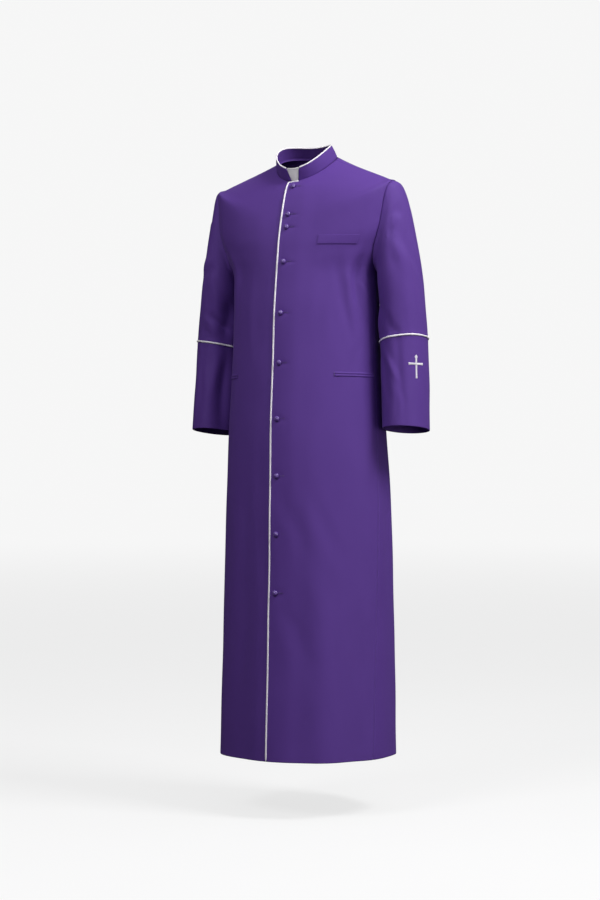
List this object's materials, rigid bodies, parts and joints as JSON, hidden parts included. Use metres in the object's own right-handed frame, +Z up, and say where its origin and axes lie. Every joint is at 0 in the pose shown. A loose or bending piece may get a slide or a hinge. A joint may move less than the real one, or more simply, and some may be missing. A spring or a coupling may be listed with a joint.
{
  "type": "clergy robe",
  "caption": "Long clergy robe worn open at neck, cuffs and hem, with a stand collar, piped front edge, covered buttons, deep cuffs and a small cross.",
  "frame": {"origin": "middle of the neck opening, level with the seam where the collar meets the shoulders", "axes": "+Z up along the robe's length, front faces -Y, the wearer's left is +X"},
  "size_m": [0.6061, 0.3944, 1.4456],
  "materials": {
    "purple_suiting": "smooth matt twill with a slight sheen",
    "white_piping": "fine woven bias over cord",
    "white_tab": "stiffened smooth linen",
    "white_embroidery": "satin stitch in rayon thread"
  },
  "bodies": {
    "root": {"back": "purple_suiting", "breast_pocket_welt": "purple_suiting", "button_01": "purple_suiting", "button_02": "purple_suiting", "button_03": "purple_suiting", "button_04": "purple_suiting", "button_05": "purple_suiting", "button_06": "purple_suiting", "button_07": "purple_suiting", "button_08": "purple_suiting", "button_09": "purple_suiting", "button_10": "purple_suiting", "collar": "purple_suiting", "collar_tab": "white_tab", "cuff_cross": "white_embroidery", "cuff_left": "purple_suiting", "cuff_right": "purple_suiting", "front_left": "purple_suiting", "front_right": "purple_suiting", "piping_collar": "white_piping", "piping_front": "white_piping", "piping_sleeve_left": "white_piping", "piping_sleeve_right": "white_piping", "pocket_left_lip_lower": "purple_suiting", "pocket_left_lip_upper": "purple_suiting", "pocket_right_lip_lower": "purple_suiting", "pocket_right_lip_upper": "purple_suiting", "sleeve_left": "purple_suiting", "sleeve_right": "purple_suiting"}
  },
  "joints": []
}
